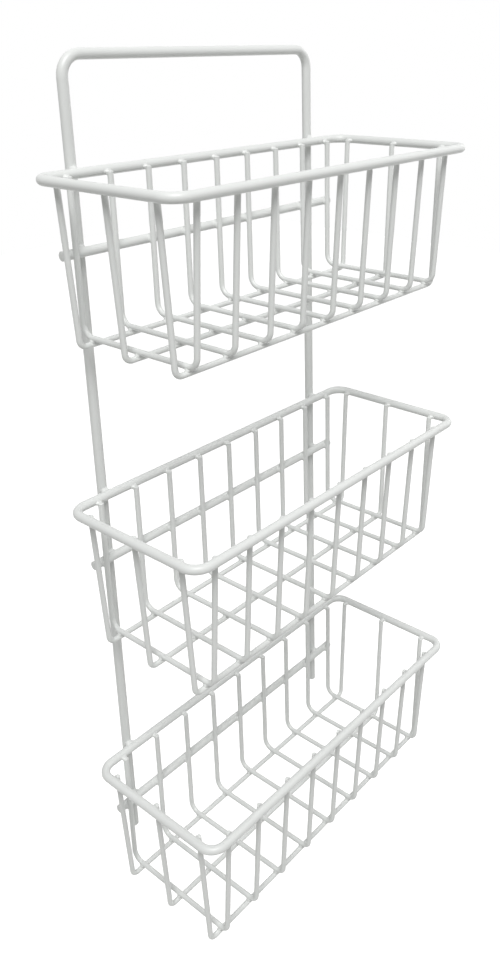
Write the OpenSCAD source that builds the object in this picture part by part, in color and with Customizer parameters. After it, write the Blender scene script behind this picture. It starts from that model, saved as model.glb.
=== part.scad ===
// Wall-hung rack of three open wire baskets on one bent frame wire.
// All wires are welded where they touch, and coated white.
// Origin: middle of the top bar's axis. The wall is on +Y, the baskets hang on -Y, +Z is up.

/* [Wires] */
// Diameter of the frame wire, over its coating
frame_wire = 6.8; // [5:0.1:8]
// Diameter of the wire of the rims and cross rods, over its coating
rim_wire = 6.3; // [4.5:0.1:7.5]
// Diameter of the ribs, over their coating
rib_wire = 3.8; // [2.5:0.1:4.5]
// Diameter of the runners, over their coating
runner_wire = 3.8; // [2.5:0.1:4.5]
// Space left in the solids between two wires that are welded together
weld_gap = 0.1; // [0.05:0.05:0.3]

/* [Frame] */
// Bend radius of the frame's top corners, on the wire's centre-line
frame_bend = 13; // [8:0.5:16]
// How far the uprights stand in from the ends of the rims
upright_inset = 31; // [22:0.5:36]
// Length of upright below the lowest cross rod
upright_tail = 31.8; // [15:0.1:50]

/* [Rims] */
// Length of a rim, between centre-lines
rim_length = 284; // [240:1:330]
// Depth of a rim from back to front, between centre-lines
rim_depth = 117; // [95:1:140]
// Bend radius of a rim's corners, on the centre-line
rim_bend = 11; // [9:0.5:14]
// Drop from the top bar to the first rim
first_drop = 67; // [45:0.5:95]
// Height from one rim to the next
basket_pitch = 214; // [170:0.5:260]

/* [Baskets] */
// Depth of the ribs' floor below the rim
basket_depth = 97.5; // [75:0.5:120]
// Angle by which the ribs' front legs lean outwards, in degrees
front_lean = 4; // [0:0.05:7]
// Angle by which the runners' end legs lean outwards, in degrees
end_lean = 3; // [0:0.05:5]
// Bend radius at the foot of the ribs' back legs
back_bend = 8; // [7:0.1:12]
// Bend radius at the foot of the ribs' front legs
front_bend = 7; // [5:0.1:10]
// Bend radius at the foot of the runners' end legs
runner_bend = 5; // [4:0.1:8]
// Height of the wire ends above the middle of the rim, or below it where negative
tip_rise = -0.5; // [-2:0.1:2.8]
// Number of ribs in a basket
rib_count = 9; // [6:1:12]
// Distance of the outer ribs from the ends of the rim
rib_margin = 20.3; // [17:0.1:26]
// Distance of the outer runners from the ends of the ribs' bends
runner_margin = 0.5; // [0:0.1:12]
// Drop from a rim to its cross rod
rod_drop = 47.2; // [30:0.1:60]
// Length of cross rod past the outermost wire that it is welded to
rod_overhang = 6.8; // [4:0.1:12]

/* [Hidden] */
coat = "#ecebe8";
wire_facets = 48;
// Angle of each of the two parts of a bend: together they reach past any turn from 60 to 120 degrees
part_turn = 60;
basket_names = ["top", "middle", "bottom"];
runner_names = ["back", "middle", "front"];
last = len(basket_names) - 1;

// Distance between the centre-lines of a rim or rod and a wire welded to it
frame_seat = frame_wire / 2 + weld_gap + rim_wire / 2;
rib_seat = rim_wire / 2 + weld_gap + rib_wire / 2;
runner_seat = rim_wire / 2 + weld_gap + runner_wire / 2;

// Distances in front of the frame's plane, at rim height
rim_back = frame_seat;
rim_front = rim_back + rim_depth;
rib_back = rim_back + rib_seat;
rib_front = rim_front - rib_seat / cos(front_lean);

// Distances from the rack's middle
upright_x = rim_length / 2 - upright_inset;
rib_x = rim_length / 2 - rib_margin;
rib_pitch = 2 * rib_x / (rib_count - 1);
rod_x = max(rib_x, upright_x) + rod_overhang;

// The runners lie under the ribs' floor
runner_depth = basket_depth + rib_wire / 2 + weld_gap + runner_wire / 2;
runner_x = rim_length / 2 - runner_seat / cos(end_lean);
rib_foot = rib_front - basket_depth * tan(front_lean);
runner_back = rib_back + back_bend + runner_margin;
runner_front = rib_foot - bend_run(front_bend, 90 - front_lean) - runner_margin;
runner_places = [runner_back, (runner_back + runner_front) / 2, runner_front];

frame_foot = first_drop + last * basket_pitch + rod_drop + upright_tail;

// Straight length that a bend of radius r takes from each side of its corner
function bend_run(r, turn) = r * tan(turn / 2);

// Part of a bend around the origin, from the angle start on
module bend_part(start, r, d) {
    rotate_extrude(angle = part_turn, start = start, $fn = 2 * wire_facets)
        translate([r, 0])
            circle(d = d, $fn = wire_facets);
}

// Wire that starts at the origin along +X in the XY plane and bends to the left.
// Each step is a straight length, the angle of the bend after it and that bend's radius.
// A bend is two parts that overlap, and each meets its own straight squarely.
module bent_wire(steps, d, i = 0) {
    length = steps[i][0];
    turn = steps[i][1];
    r = steps[i][2];
    rotate([0, 90, 0])
        cylinder(d = d, h = length, $fn = wire_facets);
    if (turn > 0)
        translate([length, r, 0]) {
            bend_part(-90, r, d);
            rotate([0, 0, turn]) {
                bend_part(-90 - part_turn, r, d);
                if (i + 1 < len(steps))
                    translate([0, -r, 0])
                        bent_wire(steps, d, i + 1);
            }
        }
}

// Stands the XY plane upright along the wall: X stays, Y turns up
module along_wall() {
    rotate([90, 0, 0]) children();
}

// Stands the XY plane upright across the rack: X turns away from the wall, Y turns up
module away_from_wall() {
    rotate([90, 0, -90]) children();
}

// Puts a basket's wire at the height of that basket's rim
module at_basket(b) {
    translate([0, 0, -first_drop - b * basket_pitch]) children();
}

// Up at the right, along the top and down at the left
module hanging_frame() {
    upright = frame_foot - frame_bend;
    top_bar = 2 * (upright_x - frame_bend);
    color(coat)
        along_wall()
            translate([upright_x, -frame_foot])
                rotate([0, 0, 90])
                    bent_wire(
                        [[upright, 90, frame_bend], [top_bar, 90, frame_bend], [upright, 0, 0]],
                        frame_wire
                    );
}

module basket_rim(b) {
    long_run = rim_length - 2 * rim_bend;
    short_run = rim_depth - 2 * rim_bend;
    color(coat)
        at_basket(b)
            translate([-long_run / 2, -rim_front, 0])
                bent_wire(
                    [for (i = [0:3]) [i % 2 == 0 ? long_run : short_run, 90, rim_bend]],
                    rim_wire
                );
}

// Welded across the backs of the ribs and the fronts of the uprights
module basket_cross_rod(b) {
    color(coat)
        at_basket(b)
            translate([-rod_x, -rim_back, -rod_drop])
                rotate([0, 90, 0])
                    cylinder(d = rim_wire, h = 2 * rod_x, $fn = wire_facets);
}

// Rib i of a basket, counted from the left: down at the back, along the floor, up at the front
module basket_rib(b, i) {
    front_turn = 90 - front_lean;
    front_run = bend_run(front_bend, front_turn);
    back_leg = tip_rise + basket_depth - back_bend;
    floor_run = rib_foot - rib_back - back_bend - front_run;
    front_leg = (tip_rise + basket_depth) / cos(front_lean) - front_run;
    color(coat)
        at_basket(b)
            translate([-rib_x + (i - 1) * rib_pitch, 0, 0])
                away_from_wall()
                    translate([rib_back, tip_rise])
                        rotate([0, 0, -90])
                            bent_wire(
                                [[back_leg, 90, back_bend], [floor_run, front_turn, front_bend], [front_leg, 0, 0]],
                                rib_wire
                            );
}

// Runner of a basket: down at the left end, along under the ribs, up at the right end
module basket_runner(b, place) {
    end_turn = 90 - end_lean;
    end_run = bend_run(runner_bend, end_turn);
    end_leg = (tip_rise + runner_depth) / cos(end_lean) - end_run;
    floor_run = 2 * (runner_x - runner_depth * tan(end_lean) - end_run);
    color(coat)
        at_basket(b)
            translate([0, -place, 0])
                along_wall()
                    translate([-runner_x - tip_rise * tan(end_lean), tip_rise])
                        rotate([0, 0, -end_turn])
                            bent_wire(
                                [[end_leg, end_turn, runner_bend], [floor_run, end_turn, runner_bend], [end_leg, 0, 0]],
                                runner_wire
                            );
}

hanging_frame();
for (b = [0:last]) {
    name = basket_names[b];
    basket_rim(b);
    basket_cross_rod(b);
    for (i = [1:rib_count])
        basket_rib(b, i);
    for (r = [0:2])
        basket_runner(b, runner_places[r]);
}
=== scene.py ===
import bpy
import bmesh
import math
import random
from mathutils import Matrix, Vector


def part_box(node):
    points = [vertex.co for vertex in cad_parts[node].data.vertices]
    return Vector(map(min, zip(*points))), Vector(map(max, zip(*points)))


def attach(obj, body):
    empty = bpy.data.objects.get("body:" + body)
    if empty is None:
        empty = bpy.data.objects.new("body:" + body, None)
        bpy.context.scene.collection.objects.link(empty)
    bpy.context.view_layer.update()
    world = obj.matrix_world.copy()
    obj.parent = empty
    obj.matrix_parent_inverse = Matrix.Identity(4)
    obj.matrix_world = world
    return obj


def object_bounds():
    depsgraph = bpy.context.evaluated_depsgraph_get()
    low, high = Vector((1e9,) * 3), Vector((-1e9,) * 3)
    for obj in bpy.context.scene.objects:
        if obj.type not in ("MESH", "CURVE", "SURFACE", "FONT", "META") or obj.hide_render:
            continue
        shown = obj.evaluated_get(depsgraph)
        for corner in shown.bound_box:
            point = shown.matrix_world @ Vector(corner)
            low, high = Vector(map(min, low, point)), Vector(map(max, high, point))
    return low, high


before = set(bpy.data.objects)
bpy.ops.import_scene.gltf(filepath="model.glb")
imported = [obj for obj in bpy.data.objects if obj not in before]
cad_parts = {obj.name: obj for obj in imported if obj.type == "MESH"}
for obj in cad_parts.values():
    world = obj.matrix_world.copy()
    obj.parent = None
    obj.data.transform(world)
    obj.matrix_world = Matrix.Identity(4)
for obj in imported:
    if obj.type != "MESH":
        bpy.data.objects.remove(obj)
cadBox = [list(corner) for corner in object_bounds()]
print("frame loaded,", len(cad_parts), "wires")

mm = 0.001
photoWidth = 500
photoHeight = 980
sensorMm = 36.0
basketNames = ("top", "middle", "bottom")


def linearRgb(hexColour, alpha=1.0):
    # sRGB hex to the linear values that the shader sockets take
    values = []
    for i in (1, 3, 5):
        c = int(hexColour[i:i + 2], 16) / 255
        values.append(c / 12.92 if c <= 0.04045 else ((c + 0.055) / 1.055) ** 2.4)
    return (*values, alpha)


def addNode(tree, kind, settings=None, links=None):
    # settings: socket or property name to value, links: input name or number to an output socket
    node = tree.nodes.new(kind)
    for name, value in (settings or {}).items():
        if name in node.inputs:
            node.inputs[name].default_value = value
        else:
            setattr(node, name, value)
    for name, source in (links or {}).items():
        tree.links.new(source, node.inputs[name])
    return node


camera = {
    "place": (-0.4440, -0.4571, 0.0053),   # metres, in the rack's frame
    "yaw": 0.8833,        # radians, from straight at the wall towards +X
    "pitch": -0.3491,     # looking down
    "roll": -0.0084,
    "focalPx": 900.2,
    "centrePx": (310.0, 369.6),
}


def makeCamera():
    yaw, pitch, roll = camera["yaw"], camera["pitch"], camera["roll"]
    forward = Vector((math.sin(yaw) * math.cos(pitch), math.cos(yaw) * math.cos(pitch), math.sin(pitch)))
    level = Vector((math.cos(yaw), -math.sin(yaw), 0))
    upright = level.cross(forward)
    right = math.cos(roll) * level + math.sin(roll) * upright
    up = -math.sin(roll) * level + math.cos(roll) * upright
    data = bpy.data.cameras.new("photoCamera")
    data.sensor_width = sensorMm
    data.sensor_height = sensorMm
    data.sensor_fit = "VERTICAL"
    data.lens = camera["focalPx"] * sensorMm / photoHeight
    data.shift_x = (photoWidth / 2 - camera["centrePx"][0]) / photoHeight
    data.shift_y = (camera["centrePx"][1] - photoHeight / 2) / photoHeight
    data.clip_start = 0.01
    obj = bpy.data.objects.new("photoCamera", data)
    bpy.context.scene.collection.objects.link(obj)
    turn = Matrix((right, up, -forward)).transposed().to_4x4()
    obj.matrix_world = Matrix.Translation(Vector(camera["place"])) @ turn
    bpy.context.scene.camera = obj


makeCamera()
print("camera placed")

powderCoat = {
    "colour": "#EAECEA",
    "shade": "#E2E4E2",
    "roughness": 0.36,
    "roughnessSpread": 0.10,
    "peelMm": 1.6,       # orange peel of the baked powder
    "peelHeightMm": 0.03,
    "driftMm": 60.0,     # slow change of tone along a wire
}


def makePowderCoat():
    # White polyester powder baked on steel wire: soft gloss with a faint orange peel
    mat = bpy.data.materials.new("whitePowderCoat")
    mat.use_nodes = True
    tree = mat.node_tree
    shader = tree.nodes["Principled BSDF"]
    coords = addNode(tree, "ShaderNodeTexCoord")
    drift = addNode(tree, "ShaderNodeTexNoise", {"Scale": 1000 / powderCoat["driftMm"], "Detail": 2.0},
                    {"Vector": coords.outputs["Object"]})
    tone = addNode(tree, "ShaderNodeMix", {"data_type": "RGBA"}, {0: drift.outputs["Fac"]})
    tone.inputs[6].default_value = linearRgb(powderCoat["shade"])
    tone.inputs[7].default_value = linearRgb(powderCoat["colour"])
    tree.links.new(tone.outputs[2], shader.inputs["Base Color"])
    low = powderCoat["roughness"] - powderCoat["roughnessSpread"] / 2
    high = powderCoat["roughness"] + powderCoat["roughnessSpread"] / 2
    gloss = addNode(tree, "ShaderNodeMapRange", {"To Min": low, "To Max": high}, {"Value": drift.outputs["Fac"]})
    tree.links.new(gloss.outputs["Result"], shader.inputs["Roughness"])
    peel = addNode(tree, "ShaderNodeTexNoise", {"Scale": 1000 / powderCoat["peelMm"], "Detail": 1.0},
                   {"Vector": coords.outputs["Object"]})
    bump = addNode(tree, "ShaderNodeBump", {"Strength": 0.25, "Distance": powderCoat["peelHeightMm"] * mm},
                   {"Height": peel.outputs["Fac"]})
    tree.links.new(bump.outputs["Normal"], shader.inputs["Normal"])
    shader.inputs["IOR"].default_value = 1.5
    return mat


coat = makePowderCoat()

lean = {"rib": 4.0, "runner": 3.0}   # degrees outwards, of a rib's front leg and a runner's end legs


def cornersOf(name):
    # Corner points of a wire's centre-line before bending, and its radius
    low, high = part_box(name)
    if name == "hanging_frame":
        r = (high.y - low.y) / 2
        y, side, top = (low.y + high.y) / 2, high.x - r, high.z - r
        return r, [(-side, y, low.z), (-side, y, top), (side, y, top), (side, y, low.z)]
    if name.endswith("_rim"):
        r = (high.z - low.z) / 2
        z, side, front, back = low.z + r, high.x - r, low.y + r, high.y - r
        return r, [(-side, front, z), (side, front, z), (side, back, z), (-side, back, z), (-side, front, z)]
    if name.endswith("_cross_rod"):
        r = (high.z - low.z) / 2
        y, z = low.y + r, low.z + r
        return r, [(low.x, y, z), (high.x, y, z)]
    if "_rib_" in name:
        r, angle = (high.x - low.x) / 2, math.radians(lean["rib"])
        x, back, floor, tip = low.x + r, high.y - r, low.z + r, high.z - r * math.sin(angle)
        front = low.y + r * math.cos(angle)
        foot = front + (tip - floor) * math.tan(angle)
        return r, [(x, back, tip), (x, back, floor), (x, foot, floor), (x, front, tip)]
    r, angle = (high.y - low.y) / 2, math.radians(lean["runner"])
    y, floor, tip = low.y + r, low.z + r, high.z - r * math.sin(angle)
    side = high.x - r * math.cos(angle)
    foot = side - (tip - floor) * math.tan(angle)
    return r, [(-side, y, tip), (-foot, y, floor), (foot, y, floor), (side, y, tip)]


wires = {}
for name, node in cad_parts.items():
    radius, corners = cornersOf(name)
    wires[name] = {"radius": radius, "corners": [Vector(corner) for corner in corners]}
    node.data.materials.clear()
    node.data.materials.append(coat)
print(len(wires), "wires coated")


def finishPiece(name, bm):
    bmesh.ops.recalc_face_normals(bm, faces=bm.faces)
    mesh = bpy.data.meshes.new(name)
    bm.to_mesh(mesh)
    bm.free()
    for face in mesh.polygons:
        face.use_smooth = True
    mesh.materials.append(coat)
    piece = bpy.data.objects.new(name, mesh)
    bpy.context.scene.collection.objects.link(piece)
    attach(piece, "root")


def growTube(bm, sides, rings):
    # An open tube of flat rings that all lie on the unit circle: the verts of each ring
    verts = bmesh.ops.create_circle(bm, segments=sides, radius=1)["verts"]
    edges = list({edge for vert in verts for edge in vert.link_edges})
    tube = [verts]
    for _ in range(rings - 1):
        made = bmesh.ops.extrude_edge_only(bm, edges=edges)["geom"]
        tube.append([g for g in made if isinstance(g, bmesh.types.BMVert)])
        edges = [g for g in made if isinstance(g, bmesh.types.BMEdge)]
    return tube


weld = {
    "sides": 16,
    "radiusMm": 1.1,        # radius of the coating's fillet where thin wires cross
    "tipRadiusMm": 1.2,     # where a thin wire ends at the rim
    "heavyRadiusMm": 1.6,   # where two heavy wires cross
    "spread": 0.12,         # how far one weld differs from the next
    "reachMm": 0.4,         # widest gap that a weld bridges
    "sinkMm": 0.45,         # how deep its edges lie in the wires
    "heavyWireMm": 2.6,     # least radius of a heavy wire
    "seed": 3,
}


def straightsOf(name):
    wire = wires[name]
    pairs = zip(wire["corners"], wire["corners"][1:])
    return [{"wire": name, "radius": wire["radius"], "start": a, "length": (b - a).length,
             "along": (b - a).normalized()} for a, b in pairs]


def crossing(a, b):
    # Where straight b crosses straight a squarely and touches it: the joint's own frame, or None
    if abs(a["along"].dot(b["along"])) > 0.2:
        return None
    atA = (b["start"] - a["start"]).dot(a["along"])
    onA = a["start"] + a["along"] * atA
    atB = (onA - b["start"]).dot(b["along"])
    apart = b["start"] + b["along"] * atB - onA
    if apart.length > a["radius"] + b["radius"] + weld["reachMm"] * mm:
        return None
    if not (0 < atA < a["length"] and -b["radius"] < atB < b["length"] + b["radius"]):
        return None
    alongB, tip = b["along"], b["length"] - atB
    if atB < tip:
        alongB, tip = -alongB, atB
    normal = apart.normalized()
    turn = Matrix((alongB.cross(normal), alongB, normal)).transposed().to_4x4()
    return {"place": Matrix.Translation(onA) @ turn, "apart": apart.length, "tip": tip,
            "radii": (a["radius"], b["radius"])}


def filletSection(joint, fillet, angle):
    # A ball of the fillet's radius rolls round the joint: where it touches both wires, and the arc between
    a, b = joint["radii"]
    near, far = 0.0, 2 * (a + b)
    for _ in range(30):
        walk = (near + far) / 2
        turn = walk * math.sin(angle) / (a + fillet)
        ball = Vector((walk * math.cos(angle), (a + fillet) * math.sin(turn), (a + fillet) * math.cos(turn)))
        onB = Vector((0, min(ball.y, joint["tip"] - b / 2), joint["apart"]))
        if (onB - ball).length < b + fillet:
            near = walk
        else:
            far = walk
    toA = (Vector((ball.x, 0, 0)) - ball).normalized()
    toB = (onB - ball).normalized()
    deep = fillet + weld["sinkMm"] * mm
    waist = (toA + toB).normalized()
    return [ball + toA * deep, ball + toA * fillet, ball + waist * fillet, ball + toB * fillet, ball + toB * deep]


def addWeld(bm, joint, fillet):
    step = 2 * math.pi / weld["sides"]
    sections = [filletSection(joint, fillet, step * side) for side in range(weld["sides"])]
    for band, ring in enumerate(growTube(bm, weld["sides"], len(sections[0]))):
        for vert in ring:
            side = round(math.atan2(vert.co.y, vert.co.x) / step) % weld["sides"]
            vert.co = joint["place"] @ sections[side][band]


def makeWelds(basket):
    # The coating runs smoothly from wire to wire at every weld of a basket
    rand = random.Random(weld["seed"])
    bm = bmesh.new()
    straights = [straight for name in wires if name.startswith(basket) for straight in straightsOf(name)]
    heavy = weld["heavyWireMm"] * mm
    count = 0
    for i, a in enumerate(straights):
        for b in straights[i + 1:] + straightsOf("hanging_frame"):
            if a["wire"] == b["wire"]:
                continue
            thick, thin = (a, b) if a["radius"] >= b["radius"] else (b, a)
            joint = crossing(thick, thin)
            if joint:
                size = weld["heavyRadiusMm"] if thin["radius"] > heavy else weld["radiusMm"]
                if joint["tip"] < thin["radius"]:
                    size = weld["tipRadiusMm"]
                addWeld(bm, joint, size * mm * (1 + weld["spread"] * rand.uniform(-1, 1)))
                count += 1
    finishPiece(basket + "_welds", bm)
    print(basket, "basket:", count, "welds")


for basket in basketNames:
    makeWelds(basket)

cutEnd = {
    "sides": 24,
    # the coating over a cut end: mm past the cut, and mm outside the wire's own radius
    "profile": ((-1.4, -0.08), (-0.9, 0.02), (-0.4, 0.05), (-0.08, -0.02), (0.12, -0.2), (0.26, -0.5), (0.34, -0.95)),
    "crown": 0.38,
}


def addCutEnd(bm, corner, following, radius):
    out = (corner - following).normalized()
    place = Matrix.Translation(corner) @ out.to_track_quat("Z", "Y").to_matrix().to_4x4()
    tube = growTube(bm, cutEnd["sides"], len(cutEnd["profile"]) + 1)
    for (past, outside), ring in zip(cutEnd["profile"], tube):
        wide = radius + outside * mm
        for vert in ring:
            vert.co = place @ Vector((vert.co.x * wide, vert.co.y * wide, past * mm))
    bmesh.ops.pointmerge(bm, verts=tube[-1], merge_co=place @ Vector((0, 0, cutEnd["crown"] * mm)))


def makeCutEnds(pieceName, names):
    bm = bmesh.new()
    for name in names:
        corners, radius = wires[name]["corners"], wires[name]["radius"]
        addCutEnd(bm, corners[0], corners[1], radius)
        addCutEnd(bm, corners[-1], corners[-2], radius)
    finishPiece(pieceName, bm)


makeCutEnds("hanging_frame_ends", ["hanging_frame"])
for basket in basketNames:
    makeCutEnds(basket + "_wire_ends",
                [name for name in wires if name.startswith(basket) and not name.endswith("_rim")])
print("cut ends coated")

stage = {
    "colour": "#DCDCDA",
    "drop": 1.0,      # metres from the lowest wire to the floor
    "reach": 6.0,
    "glow": 0.9,
}


def seenRays(tree):
    # 1 for rays that the camera sees straight, in a reflection or through glass
    path = addNode(tree, "ShaderNodeLightPath")
    most = path.outputs["Is Camera Ray"]
    for ray in ("Is Glossy Ray", "Is Transmission Ray"):
        most = addNode(tree, "ShaderNodeMath", {"operation": "MAXIMUM"}, {0: most, 1: path.outputs[ray]}).outputs[0]
    return most


def makeStage():
    low = cadBox[0][2] - stage["drop"]
    mat = bpy.data.materials.new("paleFloor")
    mat.use_nodes = True
    tree = mat.node_tree
    tree.nodes.clear()
    plain = addNode(tree, "ShaderNodeBsdfDiffuse", {"Color": linearRgb(stage["colour"])})
    glow = addNode(tree, "ShaderNodeEmission", {"Color": (1, 1, 1, 1), "Strength": stage["glow"]})
    both = addNode(tree, "ShaderNodeAddShader", {}, {0: plain.outputs[0], 1: glow.outputs[0]})
    pick = addNode(tree, "ShaderNodeMixShader", {}, {0: seenRays(tree), 1: plain.outputs[0], 2: both.outputs[0]})
    addNode(tree, "ShaderNodeOutputMaterial", {}, {"Surface": pick.outputs[0]})
    bm = bmesh.new()
    bmesh.ops.create_grid(bm, x_segments=1, y_segments=1, size=stage["reach"],
                          matrix=Matrix.Translation((0, 0, low)))
    mesh = bpy.data.meshes.new("floor")
    bm.to_mesh(mesh)
    bm.free()
    mesh.materials.append(mat)
    floor = bpy.data.objects.new("floor", mesh)
    bpy.context.scene.collection.objects.link(floor)


makeStage()

lamps = {
    "key": {"place": (-1.5, -1.6, 2.9), "size": 2.0, "power": 124},
    "fill": {"place": (2.4, -0.6, 0.3), "size": 2.0, "power": 16},
}
worldLight = 0.23


def makeLights():
    middle = Vector([(a + b) / 2 for a, b in zip(*cadBox)])
    for name, lamp in lamps.items():
        data = bpy.data.lights.new(name, "AREA")
        data.size = lamp["size"]
        data.energy = lamp["power"]
        obj = bpy.data.objects.new(name, data)
        place = Vector(lamp["place"])
        obj.location = place
        obj.rotation_euler = (middle - place).to_track_quat("-Z", "Y").to_euler()
        bpy.context.scene.collection.objects.link(obj)
    world = bpy.data.worlds.new("studio")
    world.use_nodes = True
    tree = world.node_tree
    tree.nodes.clear()
    light = addNode(tree, "ShaderNodeBackground", {"Color": (1, 1, 1, 1), "Strength": worldLight})
    white = addNode(tree, "ShaderNodeBackground", {"Color": (1, 1, 1, 1), "Strength": 1.0})
    pick = addNode(tree, "ShaderNodeMixShader", {}, {0: seenRays(tree), 1: light.outputs[0], 2: white.outputs[0]})
    addNode(tree, "ShaderNodeOutputWorld", {}, {"Surface": pick.outputs[0]})
    bpy.context.scene.world = world


makeLights()
bpy.context.scene.view_settings.view_transform = "Standard"
print("studio lit")
